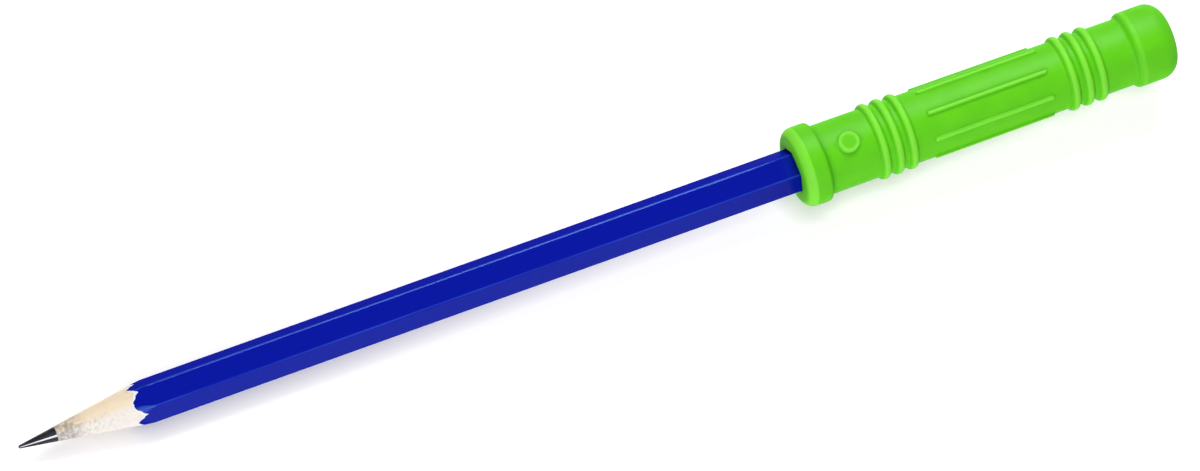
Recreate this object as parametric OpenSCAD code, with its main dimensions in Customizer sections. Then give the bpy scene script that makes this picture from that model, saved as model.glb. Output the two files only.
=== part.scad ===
// Pencil with a soft chewable topper pushed onto its end.
// The pencil is two grooved wood slats glued round a graphite lead, under a white
// undercoat and a coloured lacquer. The topper is one soft moulding with a blind
// socket that hugs the six-sided pencil.
// Every piece is drawn on a common axis: z = 0 is the mouth of the topper's collar,
// the point lies towards -z and the rounded end of the topper towards +z. The
// finished pieces are then laid along X, with the lowest line of the collar at z = 0.

/* [Pencil] */
// Length of the sharpened pencil, from the point to the sawn end
pencil_len = 175; // [120:1:200]
// Width across the flats, over the lacquer
pencil_af = 7; // [6.4:0.1:7.8]
// Radius of the rounded long edges, over the lacquer
edge_r = 0.7; // [0.4:0.05:1.2]
// Diameter of the graphite lead
lead_d = 2.6; // [1.8:0.1:3.2]
// Full angle of the sharpened cone, in degrees
point_angle = 17.2; // [16:0.2:24]
// Radius of the slightly worn tip of the lead
tip_r = 0.32; // [0.1:0.02:0.5]

/* [Coats] */
// Thickness of the white undercoat on the wood
undercoat_t = 0.06; // [0.04:0.01:0.12]
// Thickness of the coloured lacquer on the undercoat
lacquer_t = 0.1; // [0.06:0.01:0.2]

/* [Topper] */
// Length of the topper, from the collar's mouth to the rounded end
topper_len = 70.5; // [64:0.5:90]
// Diameter of the body at the collar's mouth
body_d = 12.4; // [11.6:0.1:13.4]
// Moulding draft of the body on each side, in degrees
draft = 0.22; // [0:0.02:0.4]

/* [Collar] */
// Diameter of the collar
collar_d = 14.2; // [13.8:0.1:17]
// Length of the collar along the axis
collar_len = 4.8; // [4:0.1:8]
// Rounding of the collar's front edge
collar_front_r = 1.9; // [0.8:0.1:2.4]
// Rounding of the collar's back edge
collar_back_r = 0.7; // [0.4:0.1:1.4]

/* [Knob] */
// Diameter of the knob at the far end
knob_d = 13.4; // [12.8:0.1:16]
// Length of the knob, past its blended shoulder
knob_len = 7.3; // [6:0.1:12]
// Radius of the two arcs that blend the shoulder into the body
shoulder_r = 0.9; // [0.7:0.1:2.6]
// Rounding of the knob's end
knob_end_r = 3.2; // [1:0.1:3.6]

/* [Socket] */
// Depth of the socket that takes the pencil
socket_depth = 31.5; // [20:0.5:45]
// Clearance between the pencil and the socket on every side
socket_clear = 0.08; // [0.04:0.01:0.2]
// Widening of the socket's mouth beyond its corners
mouth_flare = 0.3; // [0.2:0.1:0.8]

/* [Rings] */
// Rings in each of the two groups
ring_count = 3; // [1:1:4]
// Distance between neighbouring rings
ring_pitch = 2.58; // [2:0.01:3]
// Radius of a ring's round section
ring_r = 0.9; // [0.5:0.05:1]
// Height of a ring above the body
ring_h = 0.66; // [0.3:0.02:0.8]
// Plain neck between the collar and the first ring's crest
neck_len = 10.15; // [7:0.05:14]
// Plain shank between the last ring's crest and the knob's shoulder
shank_len = 5.95; // [2:0.05:8]

/* [Ridges] */
// Lengthwise ridges round the grip
ridge_count = 8; // [4:1:12]
// Radius of a ridge's round section
ridge_r = 0.4; // [0.3:0.05:0.8]
// Height of a ridge above the body
ridge_h = 0.44; // [0.2:0.02:0.6]
// Plain stretch between a ring's crest and the ends of the ridges
ridge_gap = 4.4; // [2:0.1:6]

/* [Thumb boss] */
// Diameter of the round boss on the neck
boss_d = 3.9; // [2.5:0.1:5]
// Height of the boss above the body
boss_h = 0.45; // [0.2:0.05:0.8]
// Rounding of the boss's rim
boss_rim_r = 0.3; // [0.1:0.05:0.4]
// Distance from the collar's back to the centre of the boss
boss_setback = 4.65; // [3:0.05:7]

/* [Hidden] */

$fn = 96;
// Overlap that lets two joined solids share volume
bite = 0.5;
// Angle between neighbouring facets of the six-sided pencil
facet_turn = 60;
// Step, in degrees, along the pencil's round corners
corner_step = 10;

// Pencil, worked out
half_angle = point_angle / 2;
lead_r = lead_d / 2;
coats_t = undercoat_t + lacquer_t;
wood_af = pencil_af - 2 * coats_t;
wood_edge_r = edge_r - coats_t;
sawn_z = socket_depth - socket_clear;
tip_z = sawn_z - pencil_len;
exposed_len = -tip_z;
// Centre of the round tip, and the point where its sphere runs into the cone
tip_centre_z = tip_z + tip_r;
tip_tangent_z = tip_centre_z - tip_r * sin(half_angle);
tip_tangent_r = tip_r * cos(half_angle);

// Topper, worked out
socket_af = pencil_af + 2 * socket_clear;
socket_edge_r = edge_r + socket_clear;
socket_corner_r = corner_centre_r(socket_af, socket_edge_r) + socket_edge_r;
collar_r = collar_d / 2;
knob_r = knob_d / 2;
near_rings_z = collar_len + neck_len;
ring_group_len = (ring_count - 1) * ring_pitch;
knob_z = topper_len - knob_len;
// The shoulder's two arcs meet halfway up its rise
shoulder_rise = knob_r - body_radius(knob_z);
shoulder_turn = acos(1 - shoulder_rise / (2 * shoulder_r));
shoulder_len = 2 * shoulder_r * sin(shoulder_turn);
shoulder_z = knob_z - shoulder_len;
far_rings_z = shoulder_z - shank_len - ring_group_len;
ridge_start_z = near_rings_z + ring_group_len + ridge_gap;
ridge_end_z = far_rings_z - ridge_gap;
boss_z = collar_len + boss_setback;

// Radius of the drafted body at a distance from the collar's mouth
function body_radius(z) = body_d / 2 - z * tan(draft);

// Distance from the axis to the centre of a rounded corner of the six-sided outline
function corner_centre_r(af, corner_r) = (af / 2 - corner_r) / cos(facet_turn / 2);

// Radius of the sharpened cone at a place on the axis
function cone_radius(z) = tip_tangent_r + (z - tip_tangent_z) * tan(half_angle);

// Lays a piece drawn along z on its side: the axis along X, local +x pointing up
module lay_down() {
    translate([(exposed_len - topper_len) / 2, 0, collar_r])
        rotate([0, 90, 0])
            rotate([0, 0, 180])
                children();
}

// Six-sided outline with round corners and a flat facing +x. The corners' centres stay
// put when the width and the corner radius grow together, so a coat has an even thickness.
module rounded_hex(af, corner_r) {
    centre_r = corner_centre_r(af, corner_r);
    polygon([
        for (corner = [facet_turn / 2 : facet_turn : 360],
             turn = [-facet_turn / 2 : corner_step : facet_turn / 2])
            centre_r * [cos(corner), sin(corner)] + corner_r * [cos(corner + turn), sin(corner + turn)]
    ]);
}

module hex_bar(af, corner_r, from_z, to_z) {
    translate([0, 0, from_z])
        linear_extrude(height = to_z - from_z)
            rounded_hex(af, corner_r);
}

// Space that a sharpener leaves: the cone, opened out to the sawn end
module sharpened_space() {
    translate([0, 0, tip_tangent_z])
        cylinder(h = sawn_z - tip_tangent_z, r1 = tip_tangent_r, r2 = cone_radius(sawn_z));
}

// Disc of revolution with a rounded front edge and a rounded back edge
module rounded_disc(r, h, front_r, back_r) {
    rotate_extrude() {
        square([r - front_r, h]);
        translate([0, front_r])
            square([r, h - front_r - back_r]);
        square([r - back_r, h]);
        translate([r - front_r, front_r])
            circle(r = front_r);
        translate([r - back_r, h - back_r])
            circle(r = back_r);
    }
}

module wood_slat(side) {
    slab = pencil_af;
    intersection() {
        difference() {
            hex_bar(wood_af, wood_edge_r, tip_z, sawn_z);
            translate([0, 0, tip_z - bite])
                cylinder(h = pencil_len + 2 * bite, r = lead_r);
        }
        sharpened_space();
        translate([side > 0 ? 0 : -slab, -slab, tip_z])
            cube([slab, 2 * slab, pencil_len]);
    }
}

module upper_wood_slat() {
    color("burlywood")
        lay_down()
            wood_slat(1);
}

module lower_wood_slat() {
    color("burlywood")
        lay_down()
            wood_slat(-1);
}

module graphite_lead() {
    color("dimgray")
        lay_down()
            union() {
                intersection() {
                    translate([0, 0, tip_tangent_z])
                        cylinder(h = sawn_z - tip_tangent_z, r = lead_r);
                    sharpened_space();
                }
                translate([0, 0, tip_centre_z])
                    sphere(r = tip_r);
            }
}

// A coat of even thickness on the six-sided bar, cut back by the sharpener
module coat(inner_af, inner_edge_r, thickness) {
    intersection() {
        difference() {
            hex_bar(inner_af + 2 * thickness, inner_edge_r + thickness, tip_z, sawn_z);
            hex_bar(inner_af, inner_edge_r, tip_z - bite, sawn_z + bite);
        }
        sharpened_space();
    }
}

module white_undercoat() {
    color("white")
        lay_down()
            coat(wood_af, wood_edge_r, undercoat_t);
}

module blue_lacquer() {
    color("mediumblue")
        lay_down()
            coat(wood_af + 2 * undercoat_t, wood_edge_r + undercoat_t, lacquer_t);
}

// Three round rings in a row, the first crest at first_z
module ring_group(first_z) {
    for (i = [0 : ring_count - 1]) {
        z = first_z + i * ring_pitch;
        translate([0, 0, z])
            rotate_extrude()
                translate([body_radius(z) + ring_h - ring_r, 0])
                    circle(r = ring_r);
    }
}

// Round bar with round ends, turned in one piece
module round_bar(length, r) {
    rotate_extrude()
        intersection() {
            union() {
                circle(r = r);
                square([r, length]);
                translate([0, length])
                    circle(r = r);
            }
            translate([0, -r])
                square([r, length + 2 * r]);
        }
}

// Lengthwise ridges with round ends, each leaning in with the body's draft
module ridges() {
    for (i = [0 : ridge_count - 1])
        rotate(i * 360 / ridge_count)
            translate([body_radius(ridge_start_z) + ridge_h - ridge_r, 0, ridge_start_z])
                rotate([0, -draft, 0])
                    round_bar(ridge_end_z - ridge_start_z, ridge_r);
}

// Round boss on the upper side of the neck
module thumb_boss() {
    root = body_radius(boss_z) - boss_rim_r - bite;
    translate([root, 0, boss_z])
        rotate([0, 90, 0])
            rotate_extrude() {
                square([boss_d / 2, body_radius(boss_z) + boss_h - boss_rim_r - root]);
                square([boss_d / 2 - boss_rim_r, body_radius(boss_z) + boss_h - root]);
                translate([boss_d / 2 - boss_rim_r, body_radius(boss_z) + boss_h - boss_rim_r - root])
                    circle(r = boss_rim_r);
            }
}

// Outline of the shoulder that swells from the body to the knob: a hollow arc, then a round one
module shoulder_outline() {
    foot_r = knob_r - shoulder_rise;
    half_len = shoulder_len / 2;
    difference() {
        square([foot_r + shoulder_rise / 2, half_len]);
        translate([foot_r + shoulder_r, 0])
            circle(r = shoulder_r);
    }
    intersection() {
        translate([knob_r - shoulder_r, shoulder_len])
            circle(r = shoulder_r);
        translate([0, half_len])
            square([knob_r, half_len]);
    }
}

// Body, shoulder and knob, turned in one piece round a core that runs right through them
module turned_body() {
    body_end_z = knob_z + bite;
    core_r = knob_r - shoulder_rise - bite;
    full_len = shoulder_len + knob_len;
    rotate_extrude() {
        polygon([[0, 0], [body_radius(0), 0], [body_radius(body_end_z), body_end_z], [0, body_end_z]]);
        translate([0, shoulder_z]) {
            shoulder_outline();
            square([core_r, full_len - knob_end_r]);
            square([knob_r - knob_end_r, full_len]);
            translate([0, shoulder_len])
                square([knob_r, knob_len - knob_end_r]);
            translate([knob_r - knob_end_r, full_len - knob_end_r])
                circle(r = knob_end_r);
        }
    }
}

module topper_body() {
    turned_body();
    rounded_disc(collar_r, collar_len, collar_front_r, collar_back_r);
    ring_group(near_rings_z);
    ring_group(far_rings_z);
    ridges();
    thumb_boss();
}

// Blind six-sided socket, its mouth opened out by a 45 degree cone
module socket() {
    flare_r = socket_corner_r + mouth_flare + bite;
    hex_bar(socket_af, socket_edge_r, -bite, socket_depth);
    translate([0, 0, -bite])
        cylinder(h = flare_r, r1 = flare_r, r2 = 0);
}

module chew_topper() {
    color("limegreen")
        lay_down()
            difference() {
                topper_body();
                socket();
            }
}

upper_wood_slat();
lower_wood_slat();
graphite_lead();
white_undercoat();
blue_lacquer();
chew_topper();
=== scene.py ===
"""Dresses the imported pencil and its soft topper, and sets a small studio round them.

The topper is a turned soft moulding whose rings and ridges are raised by a node tree. The two coats of
paint are thin shells with the torn edge that a sharpener leaves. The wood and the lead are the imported
solids with finishes of their own.
"""

import math

import bmesh
import bpy
from bpy.props import FloatProperty, FloatVectorProperty, IntProperty, PointerProperty
from bpy.types import NodeSocket, Operator, Panel, PropertyGroup
from mathutils import Matrix, Vector, noise


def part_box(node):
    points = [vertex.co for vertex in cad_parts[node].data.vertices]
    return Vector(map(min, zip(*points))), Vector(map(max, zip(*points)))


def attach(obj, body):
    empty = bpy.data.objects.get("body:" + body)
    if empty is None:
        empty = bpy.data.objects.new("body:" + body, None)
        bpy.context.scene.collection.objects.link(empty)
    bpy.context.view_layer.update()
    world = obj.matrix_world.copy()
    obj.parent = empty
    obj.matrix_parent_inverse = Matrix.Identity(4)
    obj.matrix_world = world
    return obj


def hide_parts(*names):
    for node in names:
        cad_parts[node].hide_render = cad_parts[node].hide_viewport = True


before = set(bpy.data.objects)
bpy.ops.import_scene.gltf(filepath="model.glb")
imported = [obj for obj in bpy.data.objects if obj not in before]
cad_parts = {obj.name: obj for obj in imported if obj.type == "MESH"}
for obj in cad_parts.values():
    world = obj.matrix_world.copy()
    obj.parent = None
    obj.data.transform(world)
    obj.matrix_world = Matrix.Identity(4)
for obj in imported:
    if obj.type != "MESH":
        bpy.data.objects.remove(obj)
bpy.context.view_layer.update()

bl_info = {
    "name": "Pencil With Chewable Topper",
    "version": (1, 0, 0),
    "blender": (4, 5, 0),
    "location": "3D View > Sidebar > Pencil",
    "description": "Dresses a packed pencil and its soft topper and sets a studio round them",
    "category": "Object",
}

MM = 0.001

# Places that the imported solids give
TOPPER_LOW, TOPPER_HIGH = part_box("chew_topper")
LACQUER_LOW, LACQUER_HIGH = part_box("blue_lacquer")
UNDERCOAT_LOW, UNDERCOAT_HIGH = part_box("white_undercoat")
LEAD_LOW, LEAD_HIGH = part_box("graphite_lead")
AXIS_Z = (LACQUER_LOW.z + LACQUER_HIGH.z) / 2
POINT_X, SAWN_X = LEAD_LOW.x, LEAD_HIGH.x
MOUTH_X, END_X = TOPPER_LOW.x, TOPPER_HIGH.x
COLLAR_RADIUS = TOPPER_HIGH.y
LEAD_RADIUS = (LEAD_HIGH.z - LEAD_LOW.z) / 2

# The six-sided barrel: half its width across the flats over each layer, and the turn of a facet
LACQUER_FLAT = (LACQUER_HIGH.z - LACQUER_LOW.z) / 2
UNDERCOAT_FLAT = (UNDERCOAT_HIGH.z - UNDERCOAT_LOW.z) / 2
WOOD_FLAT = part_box("upper_wood_slat")[1].z - AXIS_Z
FACETS = 6
FACET_TURN = math.tau / FACETS
HALF_FACET = FACET_TURN / 2

# The torn edge of the paint: its noise round the pencil, coarse and fine, with a layer for each coat
COARSE_CHIPS, FINE_CHIPS = 6, 19
FINE_CHIP_SHARE, FINE_CHIP_LAYER = 0.5, 0.5
LACQUER_LAYER, UNDERCOAT_LAYER = 3.0, 8.0
NOTCH_POWER = 1.1
RAGGED_SHARE = 0.4

# A coat's mesh: rows as shares of the way from its torn edge to the whole barrel, columns, the shares
# over which its film thickens, and the share of a facet where its long edges start
TORN_ROWS = (0.0, 0.02, 0.05, 0.1, 0.16, 0.22, 0.28, 0.34, 0.4, 0.46, 0.52, 0.58, 0.66, 0.76, 0.88, 1.0)
WHOLE_ROWS = 3
COAT_COLUMNS = 432
EDGE_LIFT = (-0.02, 0.03)
EDGE_BAND = 0.72

# Rows and columns of the topper's mesh
ARC_ROWS, LIP_ROWS = 14, 4
FINE_STEP, PLAIN_STEP, RIDGE_STEP, SOCKET_STEP = 0.1 * MM, 0.6 * MM, 2 * MM, 7 * MM
SOCKET_CORNER, SOCKET_WALL = 0.1 * MM, 2 * MM
SOCKET_FLOOR_SHARES, KNOB_FLAT_SHARES = (0.5, 0.97), (0.66, 0.33)
RIDGE_COLUMNS, BOSS_COLUMNS, PLAIN_COLUMNS = 18, 40, 14

# The thumb boss: the cosine past which it is out of reach, its foot, its dished middle and its pits
BOSS_SIDE = 0.8
BOSS_FOOT_IN, BOSS_FOOT_OUT = 0.1 * MM, 0.15 * MM
BOSS_DISH_RIMS = 2.2
PIT_SIZE, PIT_SHARE = 0.28 * MM, 0.6

# How far rings and ridges sink past their edge, and the reach and strength of the painted shade in the
# creases at their feet
SKIRT_SLOPE = 3.0
ROOT_ABOVE, ROOT_BELOW, ROOT_SHADE = 0.35 * MM, 1.0 * MM, 0.36

# The soft lights: how far they stand, and each one's setting, the way to it, and its width and height
LIGHT_DISTANCE = 0.9
LIGHTS = (
    ("key", (0.34, 0.65, 0.68), (0.42, 0.46)),
    ("front", (-0.45, -0.74, 0.50), (1.0, 0.34)),
    ("top", (-0.10, -0.62, 0.78), (0.32, 0.30)),
)

# The floor's reach, where it runs out to white, how far and from where the object shades it, and the
# heights between which the sky dims
FLOOR_REACH = 4.0
FADE_START, FADE_END = 0.16, 0.45
SHADE_REACH = 4.4 * MM
SHADE_WAY = {"X": 0.1, "Y": 0.37, "Z": 0.92}
SKY_LOW, SKY_HIGH = 0.05, 0.6


def size(name, description, mm):
    """A length that is written in millimetres and kept in metres."""
    return FloatProperty(name=name, description=description, default=mm * MM, unit="LENGTH", precision=5)


def turn(name, description, degrees):
    """An angle that is written in degrees."""
    return FloatProperty(name=name, description=description, default=math.radians(degrees), subtype="ANGLE")


def colour(name, description, default):
    """A colour, as linear red, green and blue."""
    return FloatVectorProperty(
        name=name, description=description, default=default, size=3, min=0.0, max=1.0, subtype="COLOR"
    )


def level(name, description, default):
    """A plain number such as a strength or a share."""
    return FloatProperty(name=name, description=description, default=default, min=0.0)


class TopperSizes(PropertyGroup):
    """Sizes of the soft topper, counted from the mouth of its collar."""

    body_radius: size("Body radius", "Radius of the body at the mouth", 6.2)
    draft: turn("Draft", "Moulding draft of the body on each side", 0.22)
    collar_length: size("Collar length", "Length of the collar", 4.8)
    collar_front: size("Collar front", "Rounding of the collar's front edge", 1.9)
    collar_back: size("Collar back", "Rounding of the collar's back edge", 0.7)
    knob_radius: size("Knob radius", "Radius of the knob", 6.7)
    knob_length: size("Knob length", "Length of the knob past its shoulder", 7.3)
    knob_end: size("Knob end", "Rounding of the knob's end", 3.2)
    shoulder_round: size("Shoulder rounding", "Radius of the shoulder's two arcs", 0.9)
    socket_depth: size("Socket depth", "Depth of the socket", 31.5)
    socket_clear: size("Socket clearance", "Room between the pencil and the socket", 0.08)
    lip_round: size("Lip rounding", "Rounding of the socket's mouth", 0.3)
    ring_count: IntProperty(name="Rings", description="Rings in each group", default=3, min=1)
    ring_pitch: size("Ring pitch", "Distance between rings", 2.58)
    ring_round: size("Ring rounding", "Radius of a ring's section", 0.9)
    ring_height: size("Ring height", "Height of a ring above the body", 0.66)
    neck_length: size("Neck length", "From the collar to the first ring's crest", 10.15)
    shank_length: size("Shank length", "From the last ring's crest to the shoulder", 5.95)
    ridge_count: IntProperty(name="Ridges", description="Ridges round the grip", default=8, min=1)
    ridge_round: size("Ridge rounding", "Radius of a ridge's section", 0.4)
    ridge_height: size("Ridge height", "Height of a ridge above the body", 0.44)
    ridge_gap: size("Ridge gap", "From a ring's crest to the ends of the ridges", 4.4)
    fillet: size("Fillet", "Softness of the roots of rings and ridges", 0.14)
    boss_radius: size("Boss radius", "Radius of the thumb boss", 1.95)
    boss_height: size("Boss height", "Height of the boss above the body", 0.45)
    boss_rim: size("Boss rim", "Width of the boss's rounded rim", 0.3)
    boss_dish: size("Boss dish", "Depth of the dished middle of the boss", 0.06)
    boss_setback: size("Boss setback", "From the collar to the middle of the boss", 4.65)

    def body_at(self, station):
        return self.body_radius - station * math.tan(self.draft)

    def length(self):
        return END_X - MOUTH_X

    def knob_start(self):
        return self.length() - self.knob_length

    def shoulder_length(self):
        rise = self.knob_radius - self.body_at(self.knob_start())
        return 2 * self.shoulder_round * math.sin(math.acos(1 - rise / (2 * self.shoulder_round)))

    def shoulder_start(self):
        return self.knob_start() - self.shoulder_length()

    def group_length(self):
        return (self.ring_count - 1) * self.ring_pitch

    def near_ring(self):
        return self.collar_length + self.neck_length

    def far_ring(self):
        return self.shoulder_start() - self.shank_length - self.group_length()

    def ridge_span(self):
        return self.near_ring() + self.group_length() + self.ridge_gap, self.far_ring() - self.ridge_gap

    def boss_station(self):
        return self.collar_length + self.boss_setback

    def boss_top(self):
        return self.body_at(self.boss_station()) + self.boss_height


class PencilSizes(PropertyGroup):
    """Sizes of the pencil's coats and of their torn edge, counted from the point."""

    edge_round: size("Edge rounding", "Rounding of the long edges over the lacquer", 0.7)
    point_angle: turn("Point angle", "Full angle of the sharpened cone", 17.2)
    tip_radius: size("Tip radius", "Radius of the worn tip of the lead", 0.32)
    tongue_start: size("Tongue start", "From the point to the tips of the lacquer's tongues", 20.6)
    notch_depth: size("Notch depth", "Mean depth of the notches between the tongues", 1.75)
    notch_vary: level("Notch variation", "How far deep and shallow notches differ from the mean", 0.2)
    notch_turn: turn("Notch turn", "How far the notches lie round from the long edges", 14.0)
    notch_sway: turn("Notch sway", "How far every other notch lies off its even place", 5.0)
    notch_width: turn("Notch width", "Half the width of a notch", 25.0)
    chip: size("Chips", "Size of the chips along the paint's edge", 0.32)
    rim: size("Undercoat rim", "Undercoat that shows past the lacquer's tongues", 0.2)
    notch_rim: size("Undercoat in notches", "More undercoat that shows in the notches", 0.55)
    lacquer_film: size("Lacquer film", "Thickness of the lacquer left on the cone", 0.05)
    undercoat_film: size("Undercoat film", "Thickness of the undercoat left on the cone", 0.02)
    smear_reach: size("Smear reach", "How far smears of lead reach over the cut wood", 4.2)
    speck_reach: size("Speck reach", "How far specks of lead dust reach over the cut wood", 15.0)

    def cone_radius(self, from_point):
        half = self.point_angle / 2
        start = self.tip_radius * (1 - math.sin(half))
        return self.tip_radius * math.cos(half) + (from_point - start) * math.tan(half)

    def nearest_notch(self, angle):
        """How near an angle is to the middle of a notch, from 0 to 1, and that notch's depth."""
        best, depth = 0.0, 0.0
        for k in range(FACETS):
            side = 1 if k % 2 == 0 else -1
            middle = FACET_TURN * (k + 0.5) + self.notch_turn + side * self.notch_sway
            off = abs((angle - middle + math.pi) % math.tau - math.pi)
            near = max(0.0, 1 - off / self.notch_width)
            if near > best:
                best, depth = near, self.notch_depth * (1 + side * self.notch_vary)
        return best, depth

    def chips(self, angle, layer):
        """Uneven chips along an edge, the same on every run."""

        def waves(count, height):
            return noise.noise(Vector((count * math.cos(angle), count * math.sin(angle), height)))

        fine = waves(FINE_CHIPS, layer + FINE_CHIP_LAYER)
        return self.chip * (waves(COARSE_CHIPS, layer) + FINE_CHIP_SHARE * fine)

    def lacquer_edge(self, angle):
        near, depth = self.nearest_notch(angle)
        return self.tongue_start + depth * near**NOTCH_POWER + self.chips(angle, LACQUER_LAYER)

    def undercoat_edge(self, angle):
        near, _ = self.nearest_notch(angle)
        ragged = RAGGED_SHARE * abs(self.chips(angle, UNDERCOAT_LAYER))
        return self.lacquer_edge(angle) - self.rim - self.notch_rim * near - ragged


class Finishes(PropertyGroup):
    """Colours of the finishes."""

    lime: colour("Lime", "Main colour of the topper", (0.133, 0.66, 0.008))
    lime_deep: colour("Deep lime", "Deeper colour in the topper's mottling", (0.119, 0.62, 0.007))
    # Painted highlight on the topper's crests and rounded rims
    lime_highlight: colour("Crest lime", "Lighter colour on the topper's crests and rims", (0.225, 0.80, 0.045))
    # Painted shade in the topper's grooves and creases
    lime_shade: colour("Crevice lime", "Darker colour in the topper's grooves", (0.050, 0.42, 0.002))
    blue: colour("Blue", "Lacquer on the flats", (0.003, 0.0085, 0.35))
    # The edge blue is a painted highlight along the lacquer's long edges, and blue dust on the undercoat
    blue_highlight_and_dust: colour("Edge blue", "Lacquer where it runs thin on the long edges", (0.024, 0.060, 0.55))
    undercoat: colour("Undercoat", "White undercoat", (0.90, 0.90, 0.89))
    wood: colour("Wood", "Freshly cut wood", (0.94, 0.77, 0.55))
    # A painted glare: the front side of the cut wood is paler
    wood_glare: colour("Pale wood", "Wood on the side that the blade polished", (0.88, 0.845, 0.82))
    wood_grain: colour("Grain", "Darker lines of the grain", (0.80, 0.58, 0.36))
    dust: colour("Lead dust", "Dust and smears of lead on the cut wood", (0.24, 0.21, 0.20))
    graphite: colour("Graphite", "The lead", (0.020, 0.020, 0.023))
    graphite_smear: colour("Graphite smear", "Lighter smears along the lead", (0.064, 0.064, 0.0736))


class StudioSettings(PropertyGroup):
    """The picture's view and light."""

    azimuth: turn("Azimuth", "Turn of the camera round the object", -47.52)
    elevation: turn("Elevation", "Height of the camera above the horizon", 71.83)
    roll: turn("Roll", "Turn of the camera about its own axis", -26.37)
    lens: FloatProperty(name="Lens", description="Focal length in millimetres", default=600.0)
    frame_width: size("Frame width", "Width of the picture at the object", 205.23)
    centre_right: size("Centre right", "From the origin to the picture's centre, to the right", 1.46)
    centre_up: size("Centre up", "From the origin to the picture's centre, upwards", 2.79)
    key: level("Key light", "Power of the large soft light behind the object", 6.9)
    front: level("Front light", "Power of the long soft light in front", 5.7)
    top: level("Top light", "Power of the light overhead that draws the lead's streak", 1.35)
    horizon: level("Horizon", "Strength of the sky near the horizon", 0.4)
    zenith: level("Zenith", "Strength of the sky overhead", 0.06)
    floor: colour("Floor", "Floor that lights the object from below", (0.80, 0.80, 0.80))
    floor_shading: colour("Floor shading", "Floor that shows the lamps' shadows", (0.71, 0.69, 0.69))
    floor_fill: level("Floor fill", "White that the camera sees on the floor beside its shading", 0.64)


def add(tree, kind, inputs=None, **settings):
    """Adds a node, sets its options, and fills its inputs with values or links."""
    made = tree.nodes.new(kind)
    for name, value in settings.items():
        setattr(made, name, value)
    for key, value in (inputs or {}).items():
        if isinstance(value, NodeSocket):
            tree.links.new(value, made.inputs[key])
        else:
            made.inputs[key].default_value = value
    return made


def calc(operation, *values):
    """A Math node's result, in the tree that its values come from."""
    tree = next(value.id_data for value in values if isinstance(value, NodeSocket))
    return add(tree, "ShaderNodeMath", dict(enumerate(values)), operation=operation).outputs[0]


def times(a, b):
    """The product of two values."""
    return calc("MULTIPLY", a, b)


def hypotenuse(a, b):
    """The long side over two sides at a right angle."""
    return calc("SQRT", calc("ADD", times(a, a), times(b, b)))


def ease(value, start, end, low=0.0, high=1.0):
    """Goes smoothly from low, where the value is at start, to high, where it is at end."""
    inputs = {"Value": value, "From Min": start, "From Max": end, "To Min": low, "To Max": high}
    eased = add(value.id_data, "ShaderNodeMapRange", inputs, interpolation_type="SMOOTHSTEP")
    return eased.outputs["Result"]


def vary(value, low, high):
    """Lays values from 0 to 1 out evenly from low to high."""
    inputs = {"Value": value, "To Min": low, "To Max": high}
    return add(value.id_data, "ShaderNodeMapRange", inputs).outputs["Result"]


def blend(share, first, second):
    """Mixes two colours."""
    tree = share.id_data
    mixer = add(tree, "ShaderNodeMix", {0: share}, data_type="RGBA")
    for socket, value in zip([s for s in mixer.inputs if s.type == "RGBA"], (first, second)):
        if isinstance(value, NodeSocket):
            tree.links.new(value, socket)
        else:
            socket.default_value = (*value, 1.0)
    return next(s for s in mixer.outputs if s.type == "RGBA")


def grain(coords, scale, detail=2.0, roughness=0.5, along=1.0):
    """Noise on the piece's own coordinates, drawn out lengthwise if along is below 1. Its marks are about
    a millimetre wide at a scale of 1000."""
    tree = coords.id_data
    mapped = add(tree, "ShaderNodeMapping", {"Vector": coords, "Scale": (along, 1.0, 1.0)}).outputs["Vector"]
    inputs = {"Vector": mapped, "Scale": scale, "Detail": detail, "Roughness": roughness}
    return add(tree, "ShaderNodeTexNoise", inputs).outputs["Fac"]


def blade_rings(coords, scale, distortion):
    """Fine uneven rings round the pencil, as a sharpener's blade leaves them."""
    inputs = {"Vector": coords, "Scale": scale, "Distortion": distortion, "Detail": 2.0}
    return add(coords.id_data, "ShaderNodeTexWave", inputs, bands_direction="X").outputs["Fac"]


def raise_surface(height, mm, strength, normal=None):
    """A bump from a height field, as deep as some millimetres."""
    inputs = {"Height": height, "Distance": mm * MM, "Strength": strength}
    if normal is not None:
        inputs["Normal"] = normal
    return add(height.id_data, "ShaderNodeBump", inputs).outputs["Normal"]


def mesh_mark(shader, name):
    """A mark from 0 to 1 that the piece's mesh carries."""
    return add(shader.id_data, "ShaderNodeAttribute", attribute_name=name).outputs["Fac"]


def closeness_to_walls(shader, reach):
    """0 on open faces, and up to 1 in grooves, where other faces of the piece are near."""
    inputs = {"Distance": reach}
    sky = add(shader.id_data, "ShaderNodeAmbientOcclusion", inputs, samples=8, only_local=True)
    return calc("SUBTRACT", 1.0, sky.outputs["AO"])


def facing_gloss(shader, start, end, face_on, edge_on):
    """A gloss level that changes from faces seen square on to faces seen on edge."""
    facing = add(shader.id_data, "ShaderNodeLayerWeight", {"Blend": 0.5}).outputs["Facing"]
    return ease(facing, start, end, face_on, edge_on)


def new_finish(name, constants):
    """A material, its shader with the even values set, and its object coordinates."""
    material = bpy.data.materials.new(name)
    material.use_nodes = True
    shader = material.node_tree.nodes["Principled BSDF"]
    for key, value in constants.items():
        shader.inputs[key].default_value = value
    return material, shader, add(material.node_tree, "ShaderNodeTexCoord").outputs["Object"]


def feed(shader, results):
    """Links results to the shader's inputs of those names."""
    for name, result in results.items():
        shader.id_data.links.new(result, shader.inputs[name])


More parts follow.
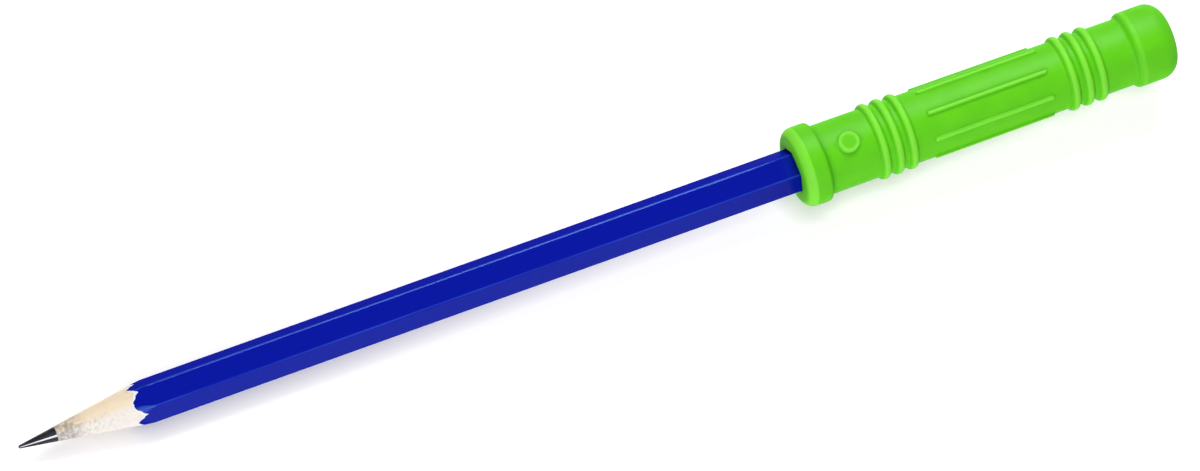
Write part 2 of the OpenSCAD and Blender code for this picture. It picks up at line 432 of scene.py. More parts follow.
def lime_rubber(colours):
    """Soft satin moulding: a faint mottle and a fine skin, with painted highlights on its crests and painted
    shade in its grooves.
    """
    constants = {
        "IOR": 1.42,
        "Subsurface Weight": 0.1,
        "Subsurface Scale": 0.8 * MM,
        "Subsurface Radius": (0.35, 1.0, 0.2),
    }
    material, shader, coords = new_finish("lime_rubber", constants)
    mottle = ease(grain(coords, 230.0, detail=4.0), 0.3, 0.7)
    even = blend(mottle, colours.lime, colours.lime_deep)
    # Painted shade in grooves and creases, where other faces of the piece are near and at the marked feet
    wall_shade = ease(closeness_to_walls(shader, reach=1.3 * MM), 0.06, 0.6, high=0.5)
    root_shade = times(mesh_mark(shader, "root"), 0.75)
    shaded = blend(calc("MAXIMUM", wall_shade, root_shade), even, colours.lime_shade)
    # Painted highlight on the crests of rings and ridges, the collar's front, the knob's brow and the boss's
    # rim
    crest = ease(mesh_mark(shader, "crest"), 0.6, 1.0)
    skin = grain(coords, 5200.0, detail=3.0, roughness=0.6)
    waves = raise_surface(grain(coords, 420.0), mm=0.2, strength=0.10)
    feed(shader, {
        "Base Color": blend(crest, shaded, colours.lime_highlight),
        "Specular IOR Level": facing_gloss(shader, 0.25, 0.6, face_on=0.27, edge_on=0.08),
        "Roughness": vary(skin, low=0.42, high=0.56),
        "Normal": raise_surface(skin, mm=0.04, strength=0.25, normal=waves),
    })
    return material


def blue_lacquer(colours):
    """Dipped gloss lacquer with a painted highlight along the long edges, and faint waves of the wood under
    it.
    """
    constants = {"IOR": 1.45, "Specular Tint": (0.25, 0.55, 1.0, 1.0)}
    material, shader, coords = new_finish("blue_lacquer", constants)
    streaks = grain(coords, 900.0, detail=3.0, roughness=0.55, along=0.04)
    # Painted highlight along the long edges, broken by streaks
    edge = ease(mesh_mark(shader, "long_edge"), 0.65, 1.0)
    edge_highlight = times(edge, ease(streaks, 0.2, 0.7))
    dust = ease(grain(coords, 2600.0), 0.62, 0.78)
    waves = raise_surface(streaks, mm=0.06, strength=0.10)
    peel = grain(coords, 1500.0, detail=1.0)
    feed(shader, {
        "Base Color": blend(edge_highlight, colours.blue, colours.blue_highlight_and_dust),
        "Specular IOR Level": facing_gloss(shader, 0.2, 0.5, face_on=0.42, edge_on=0.001),
        "Roughness": vary(dust, low=0.13, high=0.26),
        "Normal": raise_surface(peel, mm=0.02, strength=0.06, normal=waves),
    })
    return material


def white_undercoat(colours):
    """Chalky filler under the lacquer, with fine pits and blue dust from the torn coat above it."""
    material, shader, coords = new_finish("white_undercoat", {"Roughness": 0.55})
    pits = grain(coords, 6000.0, detail=3.0)
    tint = ease(grain(coords, 3200.0), 0.6, 0.8, high=0.18)
    feed(shader, {
        "Base Color": blend(tint, colours.undercoat, colours.blue_highlight_and_dust),
        "Normal": raise_surface(pits, mm=0.03, strength=0.3),
    })
    return material


def along_and_lean(coords):
    """Place along the pencil, and a lean that is 1 on its front side, 0 on top and -1 at the back."""
    xyz = add(coords.id_data, "ShaderNodeSeparateXYZ", {"Vector": coords}).outputs
    radius = calc("MAXIMUM", hypotenuse(calc("SUBTRACT", xyz["Z"], AXIS_Z), xyz["Y"]), 0.2 * MM)
    return xyz["X"], calc("DIVIDE", times(xyz["Y"], -1.0), radius)


def cut_wood(colours, sizes):
    """Wood cut by a sharpener: long grain, a front side made paler by painted glare, blade marks, and dust
    by the point.
    """
    material, shader, coords = new_finish("cut_wood", {"IOR": 1.45})
    along, lean = along_and_lean(coords)
    lead_end = POINT_X + LEAD_RADIUS / math.tan(sizes.point_angle / 2)
    smear_start, smear_full = lead_end + sizes.smear_reach, lead_end - 0.2 * MM
    speck_start, speck_full = lead_end + sizes.speck_reach, lead_end - 1 * MM
    fibre = grain(coords, 1300.0, detail=5.0, roughness=0.65, along=0.05)
    fleck = grain(coords, 4200.0, detail=3.0, roughness=0.6, along=0.35)
    # Painted glare that makes the front side of the cone paler, broken by flecks
    glare_side = ease(calc("ADD", lean, times(fleck, 0.5)), 0.0, 0.75)
    lined = blend(ease(fibre, 0.52, 0.72), colours.wood, colours.wood_grain)
    toned = blend(times(glare_side, 0.85), lined, colours.wood_glare)
    blots = ease(grain(coords, 1500.0, detail=3.0, roughness=0.6), 0.22, 0.72)
    smear = times(ease(along, smear_start, smear_full, high=0.95), blots)
    smeared = blend(smear, toned, colours.dust)
    spots = grain(coords, 2100.0, detail=3.0, roughness=0.6, along=0.75)
    held = calc("MULTIPLY_ADD", glare_side, 0.8, 0.2)
    caught = times(ease(spots, 0.46, 0.72), held)
    specks = times(caught, ease(along, speck_start, speck_full, high=0.65))
    blade = blade_rings(coords, 700.0, distortion=2.0)
    marks = raise_surface(blade, mm=0.02, strength=0.12)
    feed(shader, {
        "Base Color": blend(specks, smeared, colours.dust),
        "Roughness": vary(fleck, low=0.32, high=0.62),
        "Normal": raise_surface(fleck, mm=0.06, strength=0.45, normal=marks),
    })
    return material


def burnished_graphite(colours):
    """Sharpened lead: near black, with a metal-like sheen and the blade's fine rings."""
    constants = {"IOR": 3.0, "Specular Tint": (0.88, 0.91, 1.0, 1.0)}
    material, shader, coords = new_finish("burnished_graphite", constants)
    smear = grain(coords, 2600.0, detail=4.0, roughness=0.6, along=0.15)
    light = ease(smear, 0.45, 0.8)
    rings = blade_rings(coords, 1500.0, distortion=3.0)
    marks = raise_surface(rings, mm=0.01, strength=0.02)
    feed(shader, {
        "Base Color": blend(light, colours.graphite, colours.graphite_smear),
        "Specular IOR Level": facing_gloss(shader, 0.035, 0.10, face_on=0.6, edge_on=0.03),
        "Roughness": vary(smear, low=0.14, high=0.22),
        "Normal": raise_surface(smear, mm=0.03, strength=0.04, normal=marks),
    })
    return material


def off_flat(angle):
    """Turn from the middle of the nearest flat. Angle 0 is the middle of one."""
    return abs((angle + HALF_FACET) % FACET_TURN - HALF_FACET)


def hex_radius(angle, flat, edge_round):
    """Distance from the axis to a six-sided outline with rounded edges, at an angle."""
    off = off_flat(angle)
    if flat * math.tan(off) <= (flat - edge_round) * math.tan(HALF_FACET):
        return flat / math.cos(off)
    centre = (flat - edge_round) / math.cos(HALF_FACET)
    reach = centre * math.sin(HALF_FACET - off)
    return centre * math.cos(HALF_FACET - off) + math.sqrt(edge_round**2 - reach**2)


def arc(radius, off):
    """Height of a circle above its centre line, at a distance along that line."""
    return math.sqrt(max(0.0, radius**2 - off**2))


def smooth_max(a, b, softness):
    """The larger of two values, with the corner between them rounded off."""
    near = max(softness - abs(a - b), 0.0) / softness
    return max(a, b) + near * near * softness / 4


def smooth_step(start, end, value):
    """Rises smoothly from 0 at start to 1 at end."""
    share = min(1.0, max(0.0, (value - start) / (end - start)))
    return share * share * (3 - 2 * share)


def band(value, middle, full, reach):
    """1 as far as full from the middle, falling smoothly to 0 at the reach on either side."""
    return 1 - smooth_step(full, reach, abs(value - middle))


def near_to(value, middle, reach):
    """1 at the middle, falling evenly to 0 at the reach on either side."""
    return max(0.0, 1 - abs(value - middle) / reach)


def spread(start, end, step):
    """Even places from start up to, and without, end."""
    count = max(1, round((end - start) / step))
    return [start + (end - start) * i / count for i in range(count)]


def quarter(rows):
    """Even turns from 0 up to, and without, a quarter turn."""
    return spread(0.0, math.pi / 2, math.pi / 2 / rows)


def place(station, radius, angle):
    """A point by its place along the axis from the topper's mouth. Angle 0 is up and turns towards -Y."""
    return (MOUTH_X + station, -radius * math.sin(angle), AXIS_Z + radius * math.cos(angle))


def closed_shell(name, rings, poles=()):
    """A closed mesh from rings of points, each joined to the next. Poles close the two ends, or the last
    ring joins the first one."""
    count = len(rings[0])
    points = [p for ring in rings for p in ring]
    faces = []
    loops = len(rings) if not poles else len(rings) - 1
    for i in range(loops):
        here, there = i * count, (i + 1) % len(rings) * count
        for j in range(count):
            k = (j + 1) % count
            faces.append((here + j, here + k, there + k, there + j))
    for pole, ring in zip(poles, (0, len(rings) - 1)):
        points.append(pole)
        for j in range(count):
            faces.append((ring * count + j, ring * count + (j + 1) % count, len(points) - 1))
    mesh = bpy.data.meshes.new(name)
    mesh.from_pydata(points, [], faces)
    shell = bmesh.new()
    shell.from_mesh(mesh)
    bmesh.ops.recalc_face_normals(shell, faces=shell.faces)
    shell.to_mesh(mesh)
    shell.free()
    mesh.polygons.foreach_set("use_smooth", [True] * len(mesh.polygons))
    return mesh


def show(name, data):
    """An object at the origin that carries a mesh, a light or a camera."""
    made = bpy.data.objects.new(name, data)
    bpy.context.scene.collection.objects.link(made)
    return made


def topper_radius(s, station):
    """The turned outline of the topper, without its rings and ridges."""
    body = s.body_at(station)
    back_start = s.collar_length - s.collar_back
    if station < s.collar_front:
        return COLLAR_RADIUS - s.collar_front + arc(s.collar_front, s.collar_front - station)
    if station <= back_start:
        return COLLAR_RADIUS
    if station <= s.collar_length:
        rim = COLLAR_RADIUS - s.collar_back + arc(s.collar_back, station - back_start)
        return smooth_max(body, rim, s.fillet)
    start, end = s.shoulder_start(), s.knob_start()
    end_start = s.length() - s.knob_end
    if station > end_start:
        return s.knob_radius - s.knob_end + arc(s.knob_end, station - end_start)
    if station > end:
        return s.knob_radius
    if station > (start + end) / 2:
        return s.knob_radius - s.shoulder_round + arc(s.shoulder_round, end - station)
    if station > start:
        return max(body, s.body_at(end) + s.shoulder_round - arc(s.shoulder_round, station - start))
    return body


def boss_reach(s, station, angle):
    """Distance from the middle of the thumb boss, measured over its top."""
    if math.cos(angle) < BOSS_SIDE:
        return s.length()
    return math.hypot(station - s.boss_station(), s.boss_top() * math.tan(angle))


def with_boss(s, station, angle, radius):
    """Raises the flat-topped thumb boss, which has a rounded rim and a faintly dished, pitted middle."""
    reach = boss_reach(s, station, angle)
    if reach > s.boss_radius + s.boss_rim:
        return radius
    across = s.boss_top() * math.tan(angle)
    share = band(reach, 0.0, s.boss_radius - BOSS_FOOT_IN, s.boss_radius + BOSS_FOOT_OUT)
    past = min(1.0, max(0.0, (reach - s.boss_radius) / s.boss_rim + 1))
    middle = band(reach, 0.0, s.boss_radius - BOSS_DISH_RIMS * s.boss_rim, s.boss_radius - s.boss_rim)
    pits = noise.noise(Vector((station, across, 0.0)) / PIT_SIZE)
    sunk = s.boss_dish * middle * (1 + PIT_SHARE * pits) + s.boss_rim * (1 - math.sqrt(1 - past**2))
    crown = (s.boss_top() - sunk) / math.cos(angle)
    return radius + share * (max(radius, crown) - radius)


def crest_mark(s, station, angle):
    """How near a place is to a rounded edge that catches the light: the collar's front, the knob's brow
    and the boss's rim."""
    front = band(station, 0.55 * s.collar_front, full=0.3 * s.collar_front, reach=0.8 * s.collar_front)
    brow = band(station, s.knob_start() + 0.3 * MM, full=0.3 * MM, reach=1.1 * MM)
    rim = near_to(boss_reach(s, station, angle), s.boss_radius - s.boss_rim, reach=1.8 * MM)
    return max(0.92 * front, 0.78 * brow, rim)


def root_mark(s, station, angle):
    """How near a place is to a crease that takes painted shade: behind the collar, at the shoulder's foot
    and round the boss.
    """
    crease = near_to(station, s.collar_length, reach=0.7 * MM)
    foot = near_to(station, s.shoulder_start() + 0.6 * MM, reach=0.5 * MM)
    ring = near_to(boss_reach(s, station, angle), s.boss_radius + 0.12 * MM, reach=0.4 * MM)
    return max(crease, 0.4 * foot, ring)


def topper_stations(s):
    """Places along the outside of the topper, close together where its shape changes."""
    collar_back = s.collar_length - s.collar_back
    knob_round = s.length() - s.knob_end
    boss_half = s.boss_radius + s.boss_rim
    ring_skirt = s.ring_round + 2 * s.fillet
    ridge_cap = s.ridge_round + 2 * s.fillet
    ridge_from, ridge_to = s.ridge_span()
    stretches = [
        (s.collar_length, FINE_STEP / 2),
        (s.collar_length + 3 * s.fillet, PLAIN_STEP),
        (s.boss_station() - boss_half, FINE_STEP),
        (s.boss_station() + boss_half, PLAIN_STEP),
        (s.near_ring() - ring_skirt, FINE_STEP),
        (s.near_ring() + s.group_length() + ring_skirt, PLAIN_STEP),
        (ridge_from - ridge_cap, FINE_STEP),
        (ridge_from + FINE_STEP, RIDGE_STEP),
        (ridge_to - FINE_STEP, FINE_STEP),
        (ridge_to + ridge_cap, PLAIN_STEP),
        (s.far_ring() - ring_skirt, FINE_STEP),
        (s.far_ring() + s.group_length() + ring_skirt, PLAIN_STEP),
        (s.shoulder_start(), FINE_STEP),
        (s.knob_start(), PLAIN_STEP),
    ]
    ends = [start for start, _ in stretches[1:]] + [knob_round]
    places = [s.collar_front * (1 - math.cos(t)) for t in quarter(ARC_ROWS)]
    places += spread(s.collar_front, collar_back, PLAIN_STEP)
    places += [collar_back + s.collar_back * math.sin(t) for t in quarter(ARC_ROWS)]
    for (start, step), end in zip(stretches, ends):
        places += spread(start, end, step)
    places += [knob_round + s.knob_end * math.sin(t) for t in quarter(ARC_ROWS)]
    return places + [s.length()]


def topper_angles(s):
    """Angles round the topper, close together on the ridges and beside the boss."""
    pitch = math.tau / s.ridge_count
    window = 2 * (s.ridge_round + 2 * s.fillet) / s.body_radius
    angles = []
    for k in range(s.ridge_count):
        middle = k * pitch
        columns = BOSS_COLUMNS if k in (0, s.ridge_count - 1) else PLAIN_COLUMNS
        angles += spread(middle - window / 2, middle + window / 2, window / RIDGE_COLUMNS)
        angles += spread(middle + window / 2, middle + pitch - window / 2, pitch / columns)
    return angles


def turned_topper(s):
    """The topper's closed shell: out of the socket, round the lip, along the outside to the knob's end."""
    angles = topper_angles(s)
    edge = bpy.context.scene.pencil_sizes.edge_round + s.socket_clear
    wall = [hex_radius(a, LACQUER_FLAT + s.socket_clear, edge) for a in angles]
    depth, lip = s.socket_depth, s.lip_round
    rings, marks = [], {"outside": [], "crest": [], "root": []}

    def ring(station, radii, outside=0.0):
        rings.append([place(station, r, a) for r, a in zip(radii, angles)])
        marks["outside"].extend([outside] * len(angles))
        marks["crest"].extend([outside * crest_mark(s, station, a) for a in angles])
        marks["root"].extend([outside * root_mark(s, station, a) for a in angles])

    for share in SOCKET_FLOOR_SHARES:
        ring(depth, [share * r for r in wall])
    for station in [depth - SOCKET_CORNER] + spread(depth - SOCKET_WALL, lip, SOCKET_STEP):
        ring(station, wall)
    for t in quarter(LIP_ROWS) + [math.pi / 2]:
        ring(lip * (1 - math.sin(t)), [r + lip * (1 - math.cos(t)) for r in wall])
    for station in topper_stations(s):
        ring(station, [with_boss(s, station, a, topper_radius(s, station)) for a in angles], outside=1.0)
    for share in KNOB_FLAT_SHARES:
        ring(s.length(), [share * (s.knob_radius - s.knob_end)] * len(angles))
    mesh = closed_shell("chew_topper_moulding", rings, (place(depth, 0, 0), place(s.length(), 0, 0)))
    for name, values in marks.items():
        mesh.attributes.new(name, "FLOAT", "POINT").data.foreach_set("value", values + [0.0, 0.0])
    return mesh


def stored_mark(tree, name):
    """A mark that the mesh brings into a node tree."""
    mark = add(tree, "GeometryNodeInputNamedAttribute", {"Name": name}, data_type="FLOAT")
    return mark.outputs["Attribute"]


def tree_inputs(tree, sizes):
    """Gives a tree its geometry and an input for each size. Returns them, and the sizes by identifier."""
    for in_out in ("INPUT", "OUTPUT"):
        tree.interface.new_socket("Geometry", in_out=in_out, socket_type="NodeSocketGeometry")
    values = {}
    for name, value in sizes.items():
        kind = "NodeSocketInt" if isinstance(value, int) else "NodeSocketFloat"
        values[tree.interface.new_socket(name, in_out="INPUT", socket_type=kind).identifier] = value
    return add(tree, "NodeGroupInput").outputs, values


def section_rise(distance, rounding, height):
    """Height of a round section above the body, at a distance from its middle. Past its edge it sinks."""
    squares = [times(side, side) for side in (rounding, distance)]
    crown = calc("SQRT", calc("MAXIMUM", calc("SUBTRACT", *squares), 0.0))
    top = calc("ADD", crown, calc("SUBTRACT", height, rounding))
    past = calc("MAXIMUM", calc("SUBTRACT", distance, rounding), 0.0)
    return calc("SUBTRACT", top, times(past, SKIRT_SLOPE))


def ring_rise(given, station, first):
    """Height of a group of rings above the body. The group starts at the crest of its first ring."""
    steps = calc("DIVIDE", calc("SUBTRACT", station, first), given["Ring Pitch"])
    last = calc("SUBTRACT", given["Ring Count"], 1.0)
    index = calc("MINIMUM", calc("MAXIMUM", calc("ROUND", steps), 0.0), last)
    crest = calc("ADD", first, times(index, given["Ring Pitch"]))
    off = calc("ABSOLUTE", calc("SUBTRACT", station, crest))
    return section_rise(off, given["Ring Rounding"], given["Ring Height"])


def ridge_rise(given, station, radius, angle):
    """Height of the ridges above the body. Their ends are round."""
    half_pitch = calc("DIVIDE", math.pi, given["Ridge Count"])
    off_crest = calc("WRAP", angle, half_pitch, times(half_pitch, -1.0))
    across = times(radius, calc("SINE", off_crest))
    before = calc("SUBTRACT", given["Ridge Start"], station)
    after = calc("SUBTRACT", station, given["Ridge End"])
    past = calc("MAXIMUM", calc("MAXIMUM", before, after), 0.0)
    return section_rise(hypotenuse(across, past), given["Ridge Rounding"], given["Ridge Height"])


def rings_and_ridges(s, material):
    """A node tree that raises both groups of rings and the ridges on a turned body, and its input values."""
    tree = bpy.data.node_groups.new("Rings And Ridges", "GeometryNodeTree")
    ridge_from, ridge_to = s.ridge_span()
    sizes = {
        "Ring Pitch": s.ring_pitch,
        "Ring Rounding": s.ring_round,
        "Ring Height": s.ring_height,
        "First Near Ring": s.near_ring(),
        "First Far Ring": s.far_ring(),
        "Ridge Rounding": s.ridge_round,
        "Ridge Height": s.ridge_height,
        "Ridge Start": ridge_from,
        "Ridge End": ridge_to,
        "Fillet": s.fillet,
        "Mouth X": MOUTH_X,
        "Axis Z": AXIS_Z,
        "Ring Count": s.ring_count,
        "Ridge Count": s.ridge_count,
    }
    given, values = tree_inputs(tree, sizes)
    position = add(tree, "GeometryNodeInputPosition").outputs[0]
    xyz = add(tree, "ShaderNodeSeparateXYZ", {"Vector": position}).outputs
    station = calc("SUBTRACT", xyz["X"], given["Mouth X"])
    up = calc("SUBTRACT", xyz["Z"], given["Axis Z"])
    radius = calc("MAXIMUM", hypotenuse(up, xyz["Y"]), 0.01 * MM)
    groups = [ring_rise(given, station, given[f"First {side} Ring"]) for side in ("Near", "Far")]
    rings = calc("MAXIMUM", *groups)
    ridges = ridge_rise(given, station, radius, calc("ARCTAN2", xyz["Y"], up))
    rise = calc("MAXIMUM", rings, ridges)
    raised = calc("SMOOTH_MAX", rise, 0.0, given["Fillet"])
    outside = stored_mark(tree, "outside")
    share = calc("DIVIDE", times(raised, outside), radius)
    steps = {"Y": times(xyz["Y"], share), "Z": times(up, share)}
    move = add(tree, "ShaderNodeCombineXYZ", steps).outputs[0]
    shape = add(tree, "GeometryNodeSetPosition", {"Geometry": given["Geometry"], "Offset": move}).outputs[0]
    ring_share = calc("DIVIDE", rings, given["Ring Height"])
    ridge_share = calc("DIVIDE", ridges, given["Ridge Height"])
    above, below = (calc("DIVIDE", rise, reach) for reach in (ROOT_ABOVE, -ROOT_BELOW))
    at_root = calc("SUBTRACT", 1.0, calc("MAXIMUM", above, below))
    # The root mark sets the painted shade at the feet of rings and ridges, and the crest mark the painted
    # highlight on them
    found = {
        "crest": calc("MAXIMUM", ring_share, ridge_share),
        "root": times(at_root, ROOT_SHADE),
    }
    for name, value in found.items():
        kept = calc("MAXIMUM", times(value, outside), stored_mark(tree, name))
        inputs = {"Geometry": shape, "Name": name, "Value": kept}
        settings = {"data_type": "FLOAT", "domain": "POINT"}
        shape = add(tree, "GeometryNodeStoreNamedAttribute", inputs, **settings).outputs[0]
    real = add(tree, "GeometryNodeRealizeInstances", {"Geometry": shape}).outputs[0]
    painted = add(tree, "GeometryNodeSetMaterial", {"Geometry": real, "Material": material}).outputs[0]
    add(tree, "NodeGroupOutput", {"Geometry": painted})
    return tree, values


def apply_tree(made, tree, values):
    """Runs a node tree on an object and keeps the result as its plain mesh."""
    modifier = made.modifiers.new("Raise", "NODES")
    modifier.node_group = tree
    for identifier, value in values.items():
        modifier[identifier] = value
    graph = bpy.context.evaluated_depsgraph_get()
    result = bpy.data.meshes.new_from_object(made.evaluated_get(graph), depsgraph=graph)
    made.modifiers.remove(modifier)
    made.data = result


def coat(name, flat, edge_round, inner_flat, inner_round, film, torn_edge):
    """A thin closed coat on the pencil, from its torn front edge to the sawn end."""
    p = bpy.context.scene.pencil_sizes
    angles = spread(0.0, math.tau, math.tau / COAT_COLUMNS)
    torn = [torn_edge(angle) for angle in angles]
    whole = (flat / math.cos(HALF_FACET)) / math.tan(p.point_angle / 2)
    sawn = SAWN_X - POINT_X
    rows, lifts = [], []
    for share in TORN_ROWS:
        rows.append([front + (whole - front) * share for front in torn])
        lifts.append(film * smooth_step(*EDGE_LIFT, share))
    for k in range(1, WHOLE_ROWS + 1):
        rows.append([whole + (sawn - whole) * k / WHOLE_ROWS] * len(angles))
        lifts.append(film)

    def ring(row, outline, rounding, lift):
        points = []
        for angle, from_point in zip(angles, row):
            radius = min(hex_radius(angle, outline, rounding), p.cone_radius(from_point) + lift)
            points.append(place(POINT_X + from_point - MOUTH_X, radius, angle))
        return points

    outer = [ring(row, flat, edge_round, lift) for row, lift in zip(rows, lifts)]
    inner = [ring(row, inner_flat, inner_round, -film) for row in rows]
    mesh = closed_shell(name, outer + inner[::-1])
    by_edge = [smooth_step(EDGE_BAND * HALF_FACET, HALF_FACET, off_flat(angle)) for angle in angles]
    mark = mesh.attributes.new("long_edge", "FLOAT", "POINT")
    mark.data.foreach_set("value", by_edge * (2 * len(rows)))
    return mesh


def paint(made, material):
    """Gives a piece its one material."""
    made.data.materials.clear()
    made.data.materials.append(material)


def stand_for(node, made, material, body):
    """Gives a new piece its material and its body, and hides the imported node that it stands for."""
    paint(made, material)
    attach(made, body)
    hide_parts(node)


class PENCIL_OT_topper(Operator):
    """Moulds the soft topper with its rings, ridges, boss and socket"""

    bl_idname = "pencil.topper"
    bl_label = "Mould Topper"

    def execute(self, context):
        sizes = context.scene.topper_sizes
        material = lime_rubber(context.scene.pencil_finishes)
        made = show("soft_topper", turned_topper(sizes))
        apply_tree(made, *rings_and_ridges(sizes, material))
        made.data.attributes.remove(made.data.attributes["outside"])
        stand_for("chew_topper", made, material, "topper")
        return {"FINISHED"}


class PENCIL_OT_coats(Operator):
    """Lays the white undercoat and the blue lacquer on the pencil, torn back by the sharpener"""

    bl_idname = "pencil.coats"
    bl_label = "Paint Pencil"

    def execute(self, context):
        p, colours = context.scene.pencil_sizes, context.scene.pencil_finishes
        lacquer = (LACQUER_FLAT, p.edge_round)
        undercoat = (UNDERCOAT_FLAT, p.edge_round - (LACQUER_FLAT - UNDERCOAT_FLAT))
        wood = (WOOD_FLAT, p.edge_round - (LACQUER_FLAT - WOOD_FLAT))
        mesh = coat("undercoat_film", *undercoat, *wood, p.undercoat_film, p.undercoat_edge)
        made = show("torn_undercoat", mesh)
        stand_for("white_undercoat", made, white_undercoat(colours), "pencil")
        mesh = coat("lacquer_film", *lacquer, *undercoat, p.lacquer_film, p.lacquer_edge)
        made = show("torn_lacquer", mesh)
        stand_for("blue_lacquer", made, blue_lacquer(colours), "pencil")
        return {"FINISHED"}


class PENCIL_OT_wood(Operator):
    """Finishes the two wood slats as cut wood"""

    bl_idname = "pencil.wood"
    bl_label = "Finish Wood"

    def execute(self, context):
        material = cut_wood(context.scene.pencil_finishes, context.scene.pencil_sizes)
        for node in ("upper_wood_slat", "lower_wood_slat"):
            paint(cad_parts[node], material)
        return {"FINISHED"}


class PENCIL_OT_lead(Operator):
    """Finishes the lead as burnished graphite"""

    bl_idname = "pencil.lead"
    bl_label = "Finish Lead"

    def execute(self, context):
        paint(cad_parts["graphite_lead"], burnished_graphite(context.scene.pencil_finishes))
        return {"FINISHED"}


def camera_axes(studio):
    """The camera's right, up and backward directions."""
    a, e, r = studio.azimuth, studio.elevation, studio.roll
    back = Vector((math.sin(a) * math.cos(e), -math.cos(a) * math.cos(e), math.sin(e)))
    level_right = Vector((math.cos(a), math.sin(a), 0.0))
    level_up = back.cross(level_right)
    right = level_right * math.cos(r) - level_up * math.sin(r)
    return right, back.cross(right), back


def place_camera(studio):
    """A long lens at the photograph's angle."""
    right, up, back = camera_axes(studio)
    data = bpy.data.cameras.new("Picture Camera")
    data.sensor_fit, data.lens = "HORIZONTAL", studio.lens
    centre = right * studio.centre_right + up * studio.centre_up
    distance = studio.frame_width * data.lens / data.sensor_width
    data.clip_end = 10 * distance
    camera = show("picture_camera", data)
    turned = Matrix((right, up, back)).transposed().to_4x4()
    camera.matrix_world = Matrix.Translation(centre + back * distance) @ turned
    bpy.context.scene.camera = camera


def soft_light(name, power, direction, width_height):
    """A soft box that faces the object and that the camera doesn't see."""
    data = bpy.data.lights.new(name, "AREA")
    data.shape, data.energy = "RECTANGLE", power
    data.size, data.size_y = width_height
    light = show(name, data)
    way = Vector(direction).normalized()
    facing = way.to_track_quat("Z", "Y").to_matrix().to_4x4()
    light.matrix_world = Matrix.Translation(way * LIGHT_DISTANCE) @ facing
    light.visible_camera = False


def studio_sky(studio):
    """A soft sky, brighter near the horizon than overhead."""
    world = bpy.data.worlds.new("Studio Sky")
    bpy.context.scene.world = world
    world.use_nodes = True
    tree = world.node_tree
    way = add(tree, "ShaderNodeTexCoord").outputs["Generated"]
    height = add(tree, "ShaderNodeSeparateXYZ", {"Vector": way}).outputs["Z"]
    sky = tree.nodes["Background"]
    sky.inputs["Color"].default_value = (1.0, 1.0, 1.0, 1.0)
    feed(sky, {"Strength": ease(height, SKY_LOW, SKY_HIGH, studio.horizon, studio.zenith)})


def floor_height(along):
    """Height of the floor that the collar and the front end of the painted barrel both rest on."""
    collar_x = MOUTH_X + bpy.context.scene.topper_sizes.collar_front
    barrel_x = POINT_X + LACQUER_FLAT / math.tan(bpy.context.scene.pencil_sizes.point_angle / 2)
    slope = (LACQUER_LOW.z - TOPPER_LOW.z) / (collar_x - barrel_x)
    return TOPPER_LOW.z + (collar_x - along) * slope


def floor_finish(studio):
    """White to the camera, with the lamps' shadows and a shade close to the object, and plain white in
    reflections. Other light meets a pale floor."""
    constants = {"Base Color": (*studio.floor, 1.0), "Roughness": 0.9, "Specular IOR Level": 0.0}
    material, plain_floor, coords = new_finish("pale_floor", constants)
    tree = material.node_tree
    rays = add(tree, "ShaderNodeLightPath").outputs
    by_gloss = calc("MAXIMUM", rays["Is Glossy Ray"], rays["Is Transmission Ray"])
    seen = calc("MAXIMUM", rays["Is Camera Ray"], by_gloss)
    away = add(tree, "ShaderNodeVectorMath", {0: coords}, operation="LENGTH").outputs["Value"]
    far = calc("MAXIMUM", ease(away, FADE_START, FADE_END), by_gloss)
    inputs = {"Distance": SHADE_REACH, "Normal": add(tree, "ShaderNodeCombineXYZ", SHADE_WAY).outputs[0]}
    open_share = add(tree, "ShaderNodeAmbientOcclusion", inputs, samples=16).outputs["AO"]
    fill = times(open_share, studio.floor_fill)
    shading = add(tree, "ShaderNodeBsdfDiffuse", {"Color": (*studio.floor_shading, 1.0)}).outputs[0]
    glow = add(tree, "ShaderNodeEmission", {"Strength": fill}).outputs[0]
    white = add(tree, "ShaderNodeEmission", {"Strength": 1.0}).outputs[0]
    near = add(tree, "ShaderNodeAddShader", {0: shading, 1: glow}).outputs[0]
    shown = add(tree, "ShaderNodeMixShader", {0: far, 1: near, 2: white}).outputs[0]
    lit = add(tree, "ShaderNodeMixShader", {0: seen, 1: plain_floor.outputs[0], 2: shown}).outputs[0]
    feed(tree.nodes["Material Output"], {"Surface": lit})
    return material


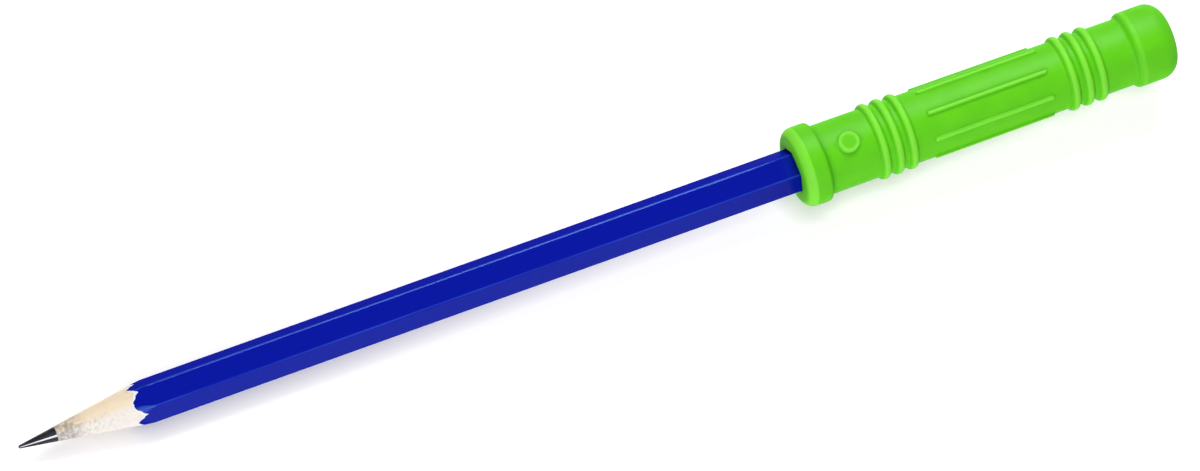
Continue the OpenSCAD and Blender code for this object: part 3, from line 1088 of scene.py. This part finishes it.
def pale_floor(studio):
    """A pale floor that keeps the object's shadow and runs out to white."""
    around = ((-1, -1), (1, -1), (1, 1), (-1, 1))
    corners = [(x * FLOOR_REACH, y * FLOOR_REACH, floor_height(x * FLOOR_REACH)) for x, y in around]
    mesh = bpy.data.meshes.new("floor")
    mesh.from_pydata(corners, [], [(0, 1, 2, 3)])
    mesh.materials.append(floor_finish(studio))
    show("studio_floor", mesh)


class PENCIL_OT_stage(Operator):
    """Sets the floor, the sky, the soft lights and the camera"""

    bl_idname = "pencil.stage"
    bl_label = "Set Stage"

    def execute(self, context):
        studio = context.scene.pencil_studio
        context.scene.view_settings.view_transform = "Standard"
        pale_floor(studio)
        studio_sky(studio)
        for setting, way, width_height in LIGHTS:
            soft_light(f"{setting}_light", getattr(studio, setting), way, width_height)
        place_camera(studio)
        return {"FINISHED"}


class VIEW3D_PT_pencil(Panel):
    """Lists the steps and the sizes of the pencil and its topper"""

    bl_label = "Pencil With Topper"
    bl_space_type = "VIEW_3D"
    bl_region_type = "UI"
    bl_category = "Pencil"

    def draw(self, context):
        for step in STEPS:
            self.layout.operator(step.bl_idname)
        for name, group in GROUPS.items():
            box = self.layout.box()
            for setting in group.__annotations__:
                box.prop(getattr(context.scene, name), setting)


GROUPS = {
    "topper_sizes": TopperSizes,
    "pencil_sizes": PencilSizes,
    "pencil_finishes": Finishes,
    "pencil_studio": StudioSettings,
}
STEPS = (PENCIL_OT_wood, PENCIL_OT_lead, PENCIL_OT_coats, PENCIL_OT_topper, PENCIL_OT_stage)
CLASSES = (*GROUPS.values(), *STEPS, VIEW3D_PT_pencil)


def register():
    for cls in CLASSES:
        bpy.utils.register_class(cls)
    for name, group in GROUPS.items():
        setattr(bpy.types.Scene, name, PointerProperty(type=group))


def unregister():
    for name in GROUPS:
        delattr(bpy.types.Scene, name)
    for cls in reversed(CLASSES):
        bpy.utils.unregister_class(cls)


def main():
    register()
    bpy.ops.pencil.wood()
    bpy.ops.pencil.lead()
    bpy.ops.pencil.coats()
    bpy.ops.pencil.topper()
    bpy.ops.pencil.stage()


if __name__ == "__main__":
    main()
